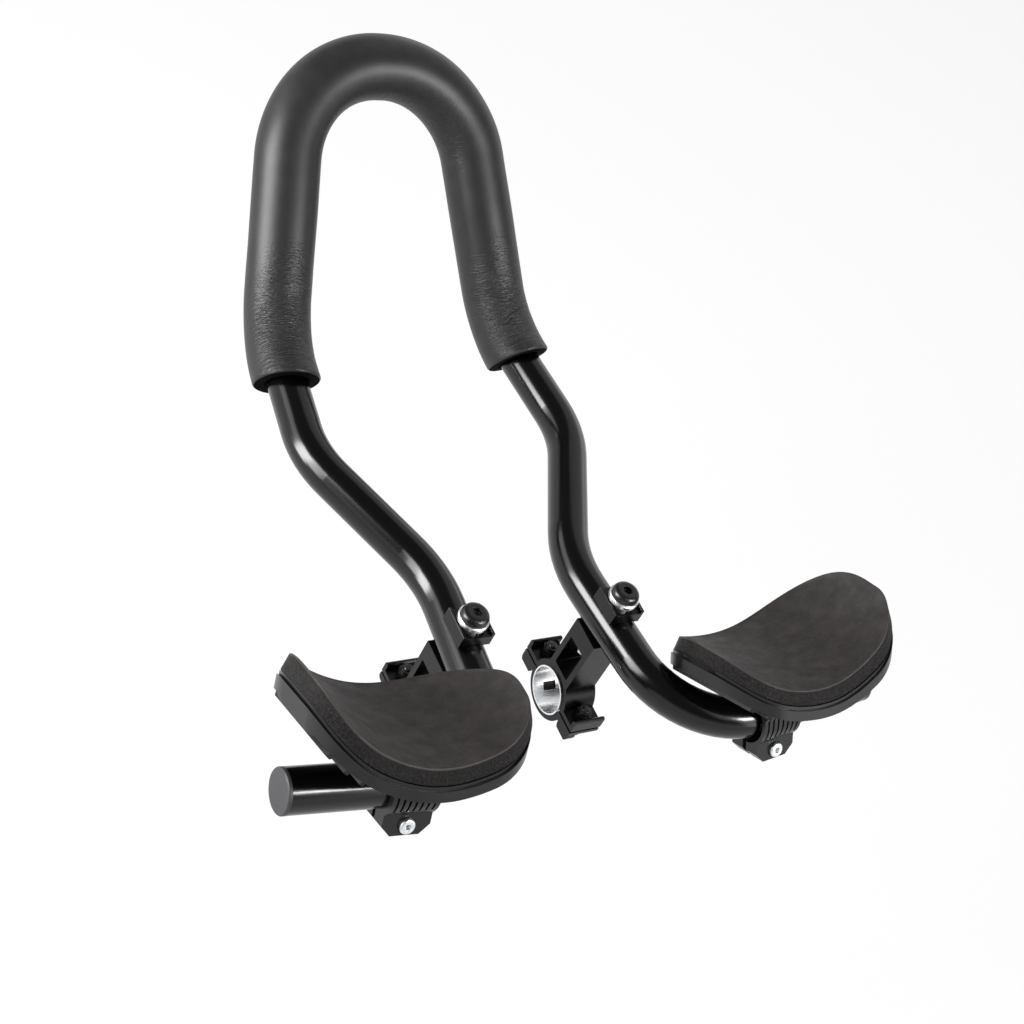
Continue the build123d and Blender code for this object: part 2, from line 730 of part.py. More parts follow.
fin_pitch = (hoop_width - fin_wall) / (fin_count - 1)
slot_floor = hoop_out - slot_depth
with BuildPart() as hoop:
    with BuildSketch(along.offset(-hoop_width / 2)) as hoop_profile:
        Circle(hoop_out)
        Rectangle(2 * hoop_out, pad_height, align=(Align.CENTER, Align.MIN))
    extrude(amount=hoop_width)
    for fin in range(fin_count):
        with BuildSketch(along.offset(fin * fin_pitch - hoop_width / 2)) as fin_profile:
            with BuildLine() as fin_edge:
                ThreePointArc(gusset_foot, gusset_mid, gusset_top)
                Polyline(
                    gusset_top,
                    (gusset_top[0], pad_height),
                    (0, pad_height),
                    (0, gusset_foot[1]),
                    gusset_foot,
                )
            make_face()
        extrude(amount=fin_wall)
    for slot in range(fin_count - 1):
        slot_x = slot * fin_pitch + fin_wall - hoop_width / 2
        with BuildSketch(along.offset(slot_x)) as slot_profile:
            with Locations((-hoop_out, -slot_foot)):
                Rectangle(2 * hoop_out, 2 * pad_height, align=(Align.CENTER, Align.MIN))
            Circle(slot_floor, mode=Mode.SUBTRACT)
            Rectangle(
                2 * slot_floor,
                2 * pad_height,
                align=(Align.CENTER, Align.MIN),
                mode=Mode.SUBTRACT,
            )
        extrude(amount=fin_pitch - fin_wall, mode=Mode.SUBTRACT)
    with BuildSketch(across.offset(-jaw_half)) as jaw_profile:
        Rectangle(hoop_width, -jaw_bottom, align=(Align.CENTER, Align.MAX))
        chamfer(jaw_profile.vertices().group_by(Axis.Y)[0], jaw_corner)
    extrude(amount=2 * jaw_half)
    with BuildSketch(front_face) as hoop_trim:
        with Locations((trough_offset, trough_z)):
            Circle(floor_top)
    extrude(amount=reach, mode=Mode.SUBTRACT)

# Armrest: tray, hoop, jaws and fins are one moulding
with BuildPart() as armrest_right:
    with BuildSketch(front_face) as tray_section:
        trough(pad_under - tray_lip, pad_under + tray_band)
    extrude(amount=reach)
    with BuildSketch(rest.offset(-tray_band)) as tray_plan:
        rest_outline(rim_grow, flank_trim)
    extrude(amount=trough_z + tray_band, mode=Mode.INTERSECT)
    add(pad_room.part, mode=Mode.SUBTRACT)
    add(skirt_room.part, mode=Mode.SUBTRACT)
    add(rim_step.part, mode=Mode.SUBTRACT)
    add(flank_ribs.part)
    add(hoop.part)
    with BuildSketch(along.offset(-hoop_width)) as stub_bore:
        Circle(hoop_in)
    extrude(amount=2 * hoop_width, mode=Mode.SUBTRACT)
    with BuildSketch(along.offset(-hoop_width / 2)) as stub_relief:
        Circle(hoop_in + hoop_relief_depth)
    extrude(amount=hoop_relief, mode=Mode.SUBTRACT)
    with BuildSketch(along.offset(-hoop_width)) as jaw_slit:
        Rectangle(jaw_gap, -2 * jaw_bottom, align=(Align.CENTER, Align.MAX))
    extrude(amount=2 * hoop_width, mode=Mode.SUBTRACT)
    with BuildSketch(across.offset(-2 * jaw_half)) as jaw_bore:
        with Locations((0, rest_screw_z)):
            Circle(rest_screw_d / 2 + hole_play)
    extrude(amount=4 * jaw_half, mode=Mode.SUBTRACT)
    with BuildSketch(across.offset(jaw_half - rest_head_sink)) as head_pocket:
        with Locations((0, rest_screw_z)):
            Circle(rest_head_d / 2 + hole_play)
    extrude(amount=4 * rest_head_sink, mode=Mode.SUBTRACT)
    with BuildSketch(across.offset(nut_h + rest_nut_sink - jaw_half)) as nut_pocket:
        with Locations((0, rest_screw_z)):
            RegularPolygon(nut_af / 2 + slip, 6, major_radius=False)
    extrude(amount=-4 * nut_h, mode=Mode.SUBTRACT)
armrest_right.part.label = "armrest_right"
export_step(armrest_right.part, "parts/armrest_right.step")

with BuildPart() as armrest_left:
    add(set_left(armrest_right.part))
armrest_left.part.label = "armrest_left"
export_step(armrest_left.part, "parts/armrest_left.step")

# Armrest screw: pan head in the rear jaw, shank through both jaws to the nut in front
rest_seat = jaw_half - rest_head_sink
rest_shank = rest_seat + jaw_half - rest_nut_sink + rest_screw_tip
with BuildPart() as armrest_screw_right:
    with BuildSketch(across.offset(rest_seat)) as rest_head:
        with Locations((0, rest_screw_z)):
            Circle(rest_head_d / 2)
    extrude(amount=rest_head_h)
    rest_head_rim = armrest_screw_right.faces().sort_by(Axis(rest.origin, -rest.y_dir))[-1]
    fillet(rest_head_rim.edges(), rest_head_h * 0.35)
    with BuildSketch(across.offset(rest_seat + rest_head_h)) as rest_socket:
        with Locations((0, rest_screw_z)):
            RegularPolygon(rest_key / 2, 6, major_radius=False)
    extrude(amount=-rest_head_h * 0.6, mode=Mode.SUBTRACT)
    with BuildSketch(across.offset(rest_seat)) as rest_shank_section:
        with Locations((0, rest_screw_z)):
            Circle(rest_screw_d / 2)
    extrude(amount=-rest_shank)
armrest_screw_right.part.label = "armrest_screw_right"
export_step(armrest_screw_right.part, "parts/armrest_screw_right.step")

with BuildPart() as armrest_screw_left:
    add(set_left(armrest_screw_right.part))
armrest_screw_left.part.label = "armrest_screw_left"
export_step(armrest_screw_left.part, "parts/armrest_screw_left.step")

# Armrest nut: in the front jaw's pocket
with BuildPart() as armrest_nut_right:
    with BuildSketch(across.offset(nut_h + rest_nut_sink - jaw_half)) as rest_nut:
        with Locations((0, rest_screw_z)):
            RegularPolygon(nut_af / 2, 6, major_radius=False)
            Circle(rest_screw_d / 2 + running, mode=Mode.SUBTRACT)
    extrude(amount=-nut_h)
armrest_nut_right.part.label = "armrest_nut_right"
export_step(armrest_nut_right.part, "parts/armrest_nut_right.step")

with BuildPart() as armrest_nut_left:
    add(set_left(armrest_nut_right.part))
armrest_nut_left.part.label = "armrest_nut_left"
export_step(armrest_nut_left.part, "parts/armrest_nut_left.step")
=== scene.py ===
# %% [markdown]
# # An aero handlebar extension, dressed around its frame
# The object is a bent black tube that clamps above a bicycle's handlebar. A foam sleeve covers its
# front, and two padded armrests sit on its outward-bent tails. The frame already holds every hard
# piece at its real size, so this lesson adds the soft pieces, the finishes, the light and the camera.

# %% Load the frame
import json
import math
import bpy
from mathutils import Euler, Matrix, Vector, noise
from mathutils.kdtree import KDTree


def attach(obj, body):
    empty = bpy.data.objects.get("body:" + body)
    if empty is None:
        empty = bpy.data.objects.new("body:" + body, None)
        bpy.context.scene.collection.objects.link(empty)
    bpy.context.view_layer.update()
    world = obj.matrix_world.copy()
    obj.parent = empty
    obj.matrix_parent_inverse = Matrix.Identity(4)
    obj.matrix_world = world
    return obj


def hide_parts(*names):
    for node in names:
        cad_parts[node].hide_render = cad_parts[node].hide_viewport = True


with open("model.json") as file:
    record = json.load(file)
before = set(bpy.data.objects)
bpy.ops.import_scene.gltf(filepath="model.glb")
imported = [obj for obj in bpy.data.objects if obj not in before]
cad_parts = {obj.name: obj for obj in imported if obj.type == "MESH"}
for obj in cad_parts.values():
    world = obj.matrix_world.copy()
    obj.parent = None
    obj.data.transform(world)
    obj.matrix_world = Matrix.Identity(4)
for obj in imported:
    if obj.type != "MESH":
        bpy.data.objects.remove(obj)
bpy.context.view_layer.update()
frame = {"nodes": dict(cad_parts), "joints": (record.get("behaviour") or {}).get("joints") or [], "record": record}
nodes = frame["nodes"]
MM = 0.001
SIDES = ("left", "right")

# %% [markdown]
# ## Camera
# The view looks down on the bar from behind and to the left, turned a little about its own axis.
# The place and the turn were found by fitting the tube's edges, so the lens is an ordinary one and
# nothing is shifted. A camera added by its operator takes its place and turn straight away.

# %% Camera
camera_place = Vector((-447.04, -364.48, 640.90)) * MM
camera_turn = [math.radians(angle) for angle in (43.092, -21.581, -25.829)]
camera_lens = 65.3
camera_sensor = 36.0
camera_near = 0.01
bpy.ops.object.camera_add(location=camera_place, rotation=camera_turn)
camera = bpy.context.object
camera.name = "view_camera"
camera.data.lens = camera_lens
camera.data.sensor_width = camera_sensor
camera.data.clip_start = camera_near
bpy.context.scene.camera = camera
view_right, view_up, view_back = Euler(camera_turn).to_matrix().col
print("camera at", [round(v, 3) for v in camera_place], "lens", camera_lens)

# %% [markdown]
# ## Colours and nodes
# Colours are easiest to choose as the hex values of a picture editor, but shaders work with linear
# light, so one function turns hex to linear. A second small function adds a node, fills in its
# settings and takes either a plain value or another node's output for each of its inputs. The other
# functions use it for the few kinds of node that the finishes need.

# %% Helpers for materials
def linear(hex_colour):
    """sRGB hex to a linear colour with alpha."""
    parts = [int(hex_colour[i:i + 2], 16) / 255 for i in (1, 3, 5)]
    return [p / 12.92 if p <= 0.04045 else ((p + 0.055) / 1.055) ** 2.4 for p in parts] + [1.0]


def add_node(tree, kind, inputs=None, **settings):
    """A node with its settings, its constant inputs and its incoming links."""
    node = tree.nodes.new(kind)
    for name, value in settings.items():
        setattr(node, name, value)
    for socket, value in (inputs or {}).items():
        if isinstance(value, bpy.types.NodeSocket):
            tree.links.new(value, node.inputs[socket])
        else:
            node.inputs[socket].default_value = value
    return node


def new_finish(name, **constants):
    """A material with one Principled shader, whose constant sockets are given by name."""
    material = bpy.data.materials.new(name)
    material.use_nodes = True
    shader = material.node_tree.nodes["Principled BSDF"]
    for socket, value in constants.items():
        shader.inputs[socket.replace("_", " ")].default_value = value
    return material, material.node_tree, shader


def feed(tree, shader, **sources):
    """Links outputs to a shader's sockets, which are given by name."""
    for socket, source in sources.items():
        tree.links.new(source, shader.inputs[socket.replace("_", " ")])


def product(tree, first, second):
    """Two values multiplied."""
    return add_node(tree, "ShaderNodeMath", {0: first, 1: second}, operation="MULTIPLY").outputs[0]


def ranged(tree, value, start, end, low=0.0, high=1.0):
    """A value that goes from low to high while another goes from start to end."""
    inputs = {"Value": value, "From Min": start, "From Max": end, "To Min": low, "To Max": high}
    return add_node(tree, "ShaderNodeMapRange", inputs).outputs[0]


print("helpers ready; the darkest lacquer is", [round(v, 4) for v in linear("#050506")])

# %% Helpers for patterns and colours
def object_place(tree):
    """Place on the piece, in metres."""
    return add_node(tree, "ShaderNodeTexCoord").outputs["Object"]


def attribute_of(tree, name):
    """A vector that each vertex carries under a name."""
    return add_node(tree, "ShaderNodeAttribute", attribute_name=name).outputs["Vector"]


def parts_of(tree, vector):
    """The three parts of a vector."""
    return add_node(tree, "ShaderNodeSeparateXYZ", {0: vector}).outputs


def per_mm(size):
    """Texture scale whose features are about size millimetres wide."""
    return 1 / (size * MM)


def noise_of(tree, place, size, **inputs):
    """Noise with features about size millimetres wide, or with a size each along x, y and z."""
    scale = 1.0
    if isinstance(size, tuple):
        scales = tuple(per_mm(part) for part in size)
        stretched = add_node(tree, "ShaderNodeVectorMath", {0: place, 1: scales}, operation="MULTIPLY")
        place = stretched.outputs[0]
    else:
        scale = per_mm(size)
    inputs.update(Vector=place, Scale=scale)
    return add_node(tree, "ShaderNodeTexNoise", inputs).outputs["Fac"]


def bumped(tree, height, strength, distance_mm, under=None):
    """A normal that follows a height, on top of another bump if there is one."""
    inputs = {"Height": height, "Strength": strength, "Distance": distance_mm * MM}
    if under is not None:
        inputs["Normal"] = under
    return add_node(tree, "ShaderNodeBump", inputs).outputs[0]


def blend_colours(tree, factor, first, second, start=0.3, end=0.7):
    """A colour between two hex colours, as a factor goes from start to end."""
    ramp = add_node(tree, "ShaderNodeValToRGB", {"Fac": factor})
    for element, place, colour in zip(ramp.color_ramp.elements, (start, end), (first, second)):
        element.position = place
        element.color = linear(colour)
    return ramp.outputs[0]


def mixed(tree, factor, first, second):
    """A colour that goes from the first to the second with a factor; 6 and 7 are the colour sockets."""
    inputs = {"Factor": factor, 6: first, 7: second}
    return add_node(tree, "ShaderNodeMix", inputs, data_type="RGBA").outputs["Result"]


print("a pattern of 2 mm has the scale", per_mm(2))

# %% [markdown]
# ## Stage and light
# The background is plain white, so the floor is white too and lies well below the part, as if the
# part hung on its bar above a table. White walls stand round it up to a dark ceiling, which lacquer
# needs to look black. Seen by the camera or in a mirror, the floor is mostly its own white, with a
# share of real shading left to keep the soft shadow. Broad lamps light the foam, and panels that
# only glossy surfaces see draw the white streaks that black lacquer needs.

# %% Floor and surroundings
floor_drop = 0.26
floor_half = 30.0
shadow_share = 0.3
paper_glow = 1.22
ambient_light = 0.15
ceiling_from, ceiling_to = 0.15, 0.40


def either(tree, first, second):
    """The larger of two values."""
    return add_node(tree, "ShaderNodeMath", {0: first, 1: second}, operation="MAXIMUM").outputs[0]


def looked_at(tree):
    """1 for rays from the camera and from mirrors or glass, which should see the white background."""
    path = add_node(tree, "ShaderNodeLightPath").outputs
    camera_or_gloss = either(tree, path["Is Camera Ray"], path["Is Glossy Ray"])
    return either(tree, camera_or_gloss, path["Is Transmission Ray"])


def show_mix(tree, output, share, first, second):
    """Sends a mix of two shaders, by the share of the second, to an output node."""
    inputs = {0: share, 1: first.outputs[0], 2: second.outputs[0]}
    mix = add_node(tree, "ShaderNodeMixShader", inputs)
    tree.links.new(mix.outputs[0], tree.nodes[output].inputs["Surface"])


bpy.ops.mesh.primitive_plane_add(size=2 * floor_half, location=(0, 0, -floor_drop))
floor = bpy.context.object
floor.name = "floor"
paper, tree, shader = new_finish("white_paper_floor", Base_Color=linear("#f4f4f4"), Roughness=0.9)
seen = product(tree, looked_at(tree), 1 - shadow_share)
glow = add_node(tree, "ShaderNodeEmission", {"Color": linear("#ffffff"), "Strength": paper_glow})
show_mix(tree, "Material Output", seen, shader, glow)
floor.data.materials.append(paper)

world = bpy.data.worlds.new("studio")
world.use_nodes = True
bpy.context.scene.world = world
tree = world.node_tree
ambient = tree.nodes["Background"]
ambient.inputs["Color"].default_value = linear("#ffffff")
ambient.inputs["Strength"].default_value = ambient_light
white = add_node(tree, "ShaderNodeBackground", {"Color": linear("#ffffff"), "Strength": 1.0})
direction = add_node(tree, "ShaderNodeTexCoord").outputs["Generated"]
wall = ranged(tree, parts_of(tree, direction)["Z"], ceiling_from, ceiling_to, 1.0, 0.0)
show_mix(tree, "World Output", product(tree, looked_at(tree), wall), ambient, white)
bpy.context.scene.view_settings.view_transform = "Standard"
print("floor lies", floor_drop, "m below the handlebar's axis")

# %% Lamps
# Each lamp has a direction, a distance, a width and a height in metres, and a power in watts.
stage_middle = Vector((0, 90, 60)) * MM
panel_distance = 1.15


def add_lamp(name, direction, distance, width, height, power, diffuse=True, glossy=True):
    """An area lamp aimed at the middle of the stage; it may skip one kind of surface."""
    away = Vector(direction).normalized() * distance
    bpy.ops.object.light_add(type="AREA", location=stage_middle + away)
    lamp = bpy.context.object
    lamp.name = name
    lamp.rotation_euler = away.to_track_quat("Z", "Y").to_euler()
    lamp.data.shape = "RECTANGLE"
    lamp.data.size = width
    lamp.data.size_y = height
    lamp.data.energy = power
    lamp.visible_diffuse = diffuse
    lamp.visible_glossy = glossy
    return lamp


def add_panel(name, direction, width, height, power):
    """A lamp that only glossy surfaces see."""
    return add_lamp(name, direction, panel_distance, width, height, power, diffuse=False)


key_side = view_back * 0.95 - view_right * 0.85 + view_up * 0.25
lamps = [
    add_lamp("key_softbox", key_side, 1.3, 0.36, 0.9, 10.5),
    add_lamp("fill_softbox", (0.15, -0.62, 0.77), 1.4, 0.7, 0.9, 2.4),
    add_lamp("top_softbox", (0.1, 0.3, 1.0), 1.2, 1.2, 0.8, 5, glossy=False),
    add_panel("left_panel", (-0.78, 0.50, 0.37), 1.2, 0.40, 3.6),
    add_panel("bend_panel", (-0.93, 0.29, 0.24), 0.30, 0.85, 17),
    add_panel("right_panel", (0.72, 0.50, 0.48), 1.2, 1.2, 2.7),
    add_panel("rear_panel", (0.56, -0.73, 0.39), 0.8, 0.75, 4.5),
    add_panel("rear_strip", (0.41, -0.69, 0.59), 0.4, 0.16, 10.0),
]
print("lamps:", [lamp.name for lamp in lamps])

# %% [markdown]
# ## Foam grip
# The sleeve is a thick foam tube pulled over the bar: straight runs joined by round bends. By hand
# it would be a circle that is extruded along each run and spun round each bend, which keeps the
# rings square to the sleeve. The ends then get their flat cut face, rounded rim and bore.

# %% The sleeve's route
tube_r = 19.05 / 2 * MM
foam_r = 31.4 / 2 * MM
foam_bore = tube_r + 0.12 * MM
grip_corner = Vector((44.8, 269.2, 147.7)) * MM
knee = Vector((62.6, 176.8, 59.1)) * MM
bulge = Vector((70.6, 107.5, 56.1)) * MM
grip_bend = 50.0 * MM
knee_bend = 58.0 * MM
foam_run = 1.0 * MM
foam_tail = 16.0 * MM
foam_cut_lean = math.radians(22.0)
foam_rim = 1.3 * MM
foam_slip = {1: -2.0 * MM, -1: 3.9 * MM}
ring_step = 1.6 * MM
ring_points = 72
mirrored = Vector((-1, 1, 1))
no_shift = Vector((0, 0, 0))


def setback(before, corner, after, bend):
    """Distance from a corner of the route to the start of its bend."""
    return bend * math.tan((corner - before).angle(after - corner) / 2)


leg_in = (knee - grip_corner).normalized()
leg_out = (bulge - knee).normalized()
foam_end = knee + leg_out * (setback(grip_corner, knee, bulge, knee_bend) + foam_run)
foam_cut = Matrix.Rotation(-foam_cut_lean, 3, leg_in.cross(leg_out)) @ leg_out
right_route = [grip_corner, knee, foam_end + leg_out * foam_tail]
route = [point * mirrored for point in reversed(right_route)] + right_route
bends = [knee_bend, grip_bend, grip_bend, knee_bend]
bend_squeeze = [1.0, 0.3, 0.3, 1.0]
print("route in mm:", [[round(v / MM, 1) for v in point] for point in route])

# %% Sweep the sleeve ring by ring
# The spine lists each ring's centre, its heading, and the way in which a bend squeezes it.
spine = []


def sweep_straight(start, end):
    """Extrudes the selected ring from start to end in even steps."""
    steps = max(1, round((end - start).length / ring_step))
    for step in range(steps):
        spine.append((start.lerp(end, step / steps), (end - start).normalized(), no_shift))
        bpy.ops.mesh.extrude_edges_move(TRANSFORM_OT_translate={"value": (end - start) / steps})


def sweep_bend(start, heading, following, bend, squeeze):
    """Spins the selected ring round a bend that squeezes the foam, and returns where it ends."""
    turn = heading.angle(following)
    axis = heading.cross(following).normalized()
    inward = axis.cross(heading)
    centre = start + inward * bend
    steps = max(1, round(turn * bend / ring_step))
    for step in range(steps):
        swing = Matrix.Rotation(turn * step / steps, 3, axis)
        spine.append((centre - swing @ inward * bend, swing @ heading, swing @ inward * squeeze))
    bpy.ops.mesh.spin(steps=steps, angle=-turn, center=centre, axis=axis)
    return centre - Matrix.Rotation(turn, 3, axis) @ inward * bend


bpy.ops.object.select_all(action="DESELECT")
heading = (route[1] - route[0]).normalized()
place = route[0]
bpy.ops.mesh.primitive_circle_add(vertices=ring_points, radius=foam_r, location=place,
                                  rotation=heading.to_track_quat("Z", "Y").to_euler())
foam = bpy.context.object
foam.name = "foam_sleeve"
bpy.ops.object.transform_apply(location=True, rotation=True, scale=True)
bpy.ops.object.mode_set(mode="EDIT")
bpy.ops.mesh.select_all(action="SELECT")
for corner, (bend, squeeze) in enumerate(zip(bends, bend_squeeze), 1):
    following = (route[corner + 1] - route[corner]).normalized()
    back_off = setback(route[corner - 1], route[corner], route[corner + 1], bend)
    bend_start = route[corner] - heading * back_off
    sweep_straight(place, bend_start)
    place = sweep_bend(bend_start, heading, following, bend, squeeze)
    heading = following
sweep_straight(place, route[-1])
spine.append((route[-1], heading, no_shift))
bpy.ops.object.mode_set(mode="OBJECT")
print("sleeve rings:", len(spine), "vertices:", len(foam.data.vertices))

# %% [markdown]
# ## The sleeve's cut ends
# The sleeve was cut square while it was straight, and pushing it round the knee left each end leaning
# against the tube, one a few millimetres further than the other. So the swept sleeve, made a little
# too long, is bisected by a leaning plane. The cut ring that bisect leaves selected is then extruded
# and scaled: small steps along a quarter circle for the rim, a few steps in to the bore for the face,
# and one step back for the bore itself.

# %% Cut and close the ends
rim_steps = 4
face_steps = 4
bore_depth = 9.0 * MM


def select_side(piece, sign):
    """Selects the faces on one side of the middle plane, and leaves edit mode on."""
    bpy.ops.object.mode_set(mode="EDIT")
    bpy.ops.mesh.select_all(action="DESELECT")
    bpy.ops.object.mode_set(mode="OBJECT")
    for face in piece.data.polygons:
        face.select = face.center.x * sign > 0
    bpy.ops.object.mode_set(mode="EDIT")


def push_ring(centre, shift, scale):
    """Extrudes the selected ring by a shift, and scales it about its new centre."""
    bpy.ops.mesh.extrude_edges_move(TRANSFORM_OT_translate={"value": shift})
    bpy.ops.transform.resize(value=(scale, scale, scale), center_override=centre + shift)
    return centre + shift


end_places = ((foam_end + leg_out * foam_slip[1], foam_cut, 1),
              ((foam_end + leg_out * foam_slip[-1]) * mirrored, foam_cut * mirrored, -1))
for end, outward, sign in end_places:
    select_side(foam, sign)
    centre = end - outward * foam_rim
    bpy.ops.mesh.bisect(plane_co=centre, plane_no=outward, clear_outer=True)
    radius = foam_r
    for step in range(1, rim_steps + 1):
        before = math.radians(90 * (step - 1) / rim_steps)
        after = math.radians(90 * step / rim_steps)
        narrower = foam_r - foam_rim * (1 - math.cos(after))
        shift = outward * foam_rim * (math.sin(after) - math.sin(before))
        centre = push_ring(centre, shift, narrower / radius)
        radius = narrower
    for step in range(1, face_steps + 1):
        narrower = foam_r - foam_rim + (foam_bore - foam_r + foam_rim) * step / face_steps
        centre = push_ring(centre, no_shift, narrower / radius)
        radius = narrower
    push_ring(centre, -outward * bore_depth, 1.0)
    bpy.ops.object.mode_set(mode="OBJECT")
print("sleeve vertices with ends:", len(foam.data.vertices))

# %% [markdown]
# ## Where the foam creases
# Foam wrinkles on the inside of a bend, where it is squeezed. The finish needs to know how far along
# and where round the sleeve a point is, as if the sleeve were straight, and how squeezed it is there.
# Each vertex keeps that as two attributes, worked out from the nearest ring of the route. The wrinkles
# and a few nicks in the right leg are then pressed into the mesh itself.

# %% Measure the route
squeeze_reach = 18
sleeve_normal = (route[2] - route[1]).cross(route[3] - route[2]).normalized()
lengths = [0.0]
for (first, _, _), (second, _, _) in zip(spine, spine[1:]):
    lengths.append(lengths[-1] + (second - first).length)
inward_soft = []
for index in range(len(spine)):
    window = spine[max(0, index - squeeze_reach):index + squeeze_reach + 1]
    inward_soft.append(sum((ring[2] for ring in window), no_shift) / len(window))
ring_tree = KDTree(len(spine))
for index, ring in enumerate(spine):
    ring_tree.insert(ring[0], index)
ring_tree.balance()
print("sleeve length", round(lengths[-1] / MM), "mm")

# %% Helpers for shaping
# A nick is a line on the sleeve: its ends are given as millimetres along it and sideways round it.
nicks = (((354.2, 8.8), (346.7, -4.4)),
         ((356.6, 7.4), (352.4, 0.2)),
         ((350.4, 0.6), (347.6, -5.4)))
nick_width = 0.9 * MM
nick_fade = 0.62


def smooth_by_angle(piece, degrees):
    """Smooth shading everywhere but across edges sharper than the angle."""
    bpy.ops.object.select_all(action="DESELECT")
    piece.select_set(True)
    bpy.context.view_layer.objects.active = piece
    bpy.ops.object.shade_smooth_by_angle(angle=math.radians(degrees))


def bump_shape(value, middle, half_width):
    """A smooth hump of height 1 at middle that ends at half_width to each side."""
    share = min(1.0, abs(value - middle) / half_width)
    return 0.5 + 0.5 * math.cos(math.pi * share)


def nick_depth(along, round_x):
    """How far a place on the sleeve lies down one of its nicks, from 0 to 1."""
    at = Vector((along, round_x))
    deepest = 0.0
    for start, end in nicks:
        first, second = Vector(start) * MM, Vector(end) * MM
        run = second - first
        share = min(1.0, max(0.0, (at - first).dot(run) / run.length_squared))
        aside = (at - first - run * share).length
        depth = bump_shape(share, 0.5, nick_fade) * bump_shape(aside, 0, nick_width)
        deepest = max(deepest, depth)
    return deepest


print("nicks:", len(nicks))

# %% Wrinkle and nick the sleeve
wrinkle_pitch = 2.4 * MM
wrinkle_length = 9 * MM
wrinkle_height = 0.16 * MM
swell_size = 30 * MM
swell_height = 0.28 * MM
cut_reach = 0.2 * MM
nick_height = 0.7 * MM
foam_edge_angle = 50

finer = foam.modifiers.new("subsurf", "SUBSURF")
finer.levels = 1
finer.render_levels = 1
bpy.context.view_layer.objects.active = foam
bpy.ops.object.modifier_apply(modifier=finer.name)
sleeve_place = foam.data.attributes.new("sleeve_place", "FLOAT_VECTOR", "POINT")
sleeve_state = foam.data.attributes.new("sleeve_state", "FLOAT_VECTOR", "POINT")
moves = []
for vertex in foam.data.vertices:
    _, index, _ = ring_tree.find(vertex.co)
    centre, heading, _ = spine[index]
    reach = vertex.co - centre
    along = lengths[index] + reach.dot(heading)
    outward = (reach - heading * reach.dot(heading)).normalized()
    round_x = outward.dot(sleeve_normal.cross(heading)) * foam_r
    round_y = outward.dot(sleeve_normal) * foam_r
    squeezed = max(0.0, outward.dot(inward_soft[index]))
    faced = any((vertex.co - end).dot(cut) > -cut_reach
                for end, cut, sign in end_places if vertex.co.x * sign > 0)
    # The nick depth also drives the painted shade in the nicks' grooves, through the sleeve_state attribute.
    nick_groove_shade = nick_depth(along, round_x) if round_y < 0 else 0.0
    sleeve_place.data[vertex.index].vector = (along, round_x, round_y)
    sleeve_state.data[vertex.index].vector = (squeezed, 1.0 if faced else 0.0, nick_groove_shade)
    ripple = noise.noise((along / wrinkle_pitch, round_x / wrinkle_length, round_y / wrinkle_length))
    swell = noise.noise(vertex.co / swell_size)
    skin = 1.0 if reach.length > foam_r - foam_rim and not faced else 0.0
    height = ripple * squeezed * wrinkle_height + swell * swell_height - nick_groove_shade * nick_height
    moves.append(outward * skin * height)
for vertex, move in zip(foam.data.vertices, moves):
    vertex.co += move
smooth_by_angle(foam, foam_edge_angle)
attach(foam, "bar")
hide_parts("foam_grip")
print("sleeve vertices:", len(foam.data.vertices))

# %% [markdown]
# ## Arm pads
# Each pad is a slab of moulded foam pressed into a trough, with a smooth top skin, a crisp rim and a
# coarse band that leans outward round its side. A circle extruded upward many times gives a tube of
# rings. Each ring then takes its place on the pad: the first shrinks to the middle of the top, the
# next ones spread to the rim, go down the side and close again underneath. All rings share one
# outline, which is read from the frame's own pad. Its front corners are evened and its sides bowed a
# little, as foam rounds off when it is pressed.

# %% Where the pads lie
rest_tilts = {"left": math.radians(-27.8), "right": math.radians(-33.0)}
trough_r = 59.8 * MM
trough_offset = 3.5 * MM
pad_height = 25.4 * MM
pad_thickness = 8.0 * MM
trough_axis = Vector((trough_offset, 0, pad_height + trough_r))
joints = {joint["child"]: joint for joint in frame["joints"]}


def rest_frame(side):
    """Flip, origin and axes (outward, ahead, up) of an armrest, as if it were the right one."""
    flip = mirrored if side == "left" else Vector((1, 1, 1))
    origin = Vector(joints[f"{side}_armrest"]["pos_m"]) * flip
    outward = Vector(joints["right_armrest"]["axis"]).normalized()
    level_up = (Vector((0, 0, 1)) - outward * outward.z).normalized()
    level_ahead = level_up.cross(outward)
    up = level_up * math.cos(rest_tilts[side]) - level_ahead * math.sin(rest_tilts[side])
    return flip, origin, Matrix((outward, up.cross(outward), up))


print("armrest origins in mm:", [[round(v / MM, 1) for v in rest_frame(side)[1]] for side in SIDES])

# %% Outline of a pad
outline_points = 320
even_rounds = 160
wall_lean = 0.2
twin_gap = 0.02 * MM
ahead_of = 20 * MM
outer_bow = 1.0 * MM
inner_bow = 2.2 * MM
side_reach = 26 * MM


def pad_wall(side):
    """The wall points of the frame's pad in turn, in the armrest's own plan, and their middle."""
    flip, origin, axes = rest_frame(side)
    mesh = nodes[f"arm_pad_{side}"].data
    faces = [face for face in mesh.polygons if abs((axes @ (face.normal * flip)).z) < wall_lean]
    corners = {i for face in faces for i in face.vertices}
    plan = [(axes @ (mesh.vertices[i].co * flip - origin)).xy for i in corners]
    middle = Vector([(min(p[k] for p in plan) + max(p[k] for p in plan)) / 2 for k in (0, 1)])
    plan.sort(key=lambda p: math.atan2(p.y - middle.y, p.x - middle.x))
    return [p for i, p in enumerate(plan) if (p - plan[i - 1]).length > twin_gap], middle


def evenly_spaced(loop):
    """A closed loop of points, spaced evenly along itself."""
    sides = [(loop[(i + 1) % len(loop)] - p).length for i, p in enumerate(loop)]
    step = sum(sides) / outline_points
    outline, passed, i = [], 0.0, 0
    for k in range(outline_points):
        while passed + sides[i] < k * step:
            passed += sides[i]
            i += 1
        outline.append(loop[i].lerp(loop[(i + 1) % len(loop)], (k * step - passed) / sides[i]))
    return outline


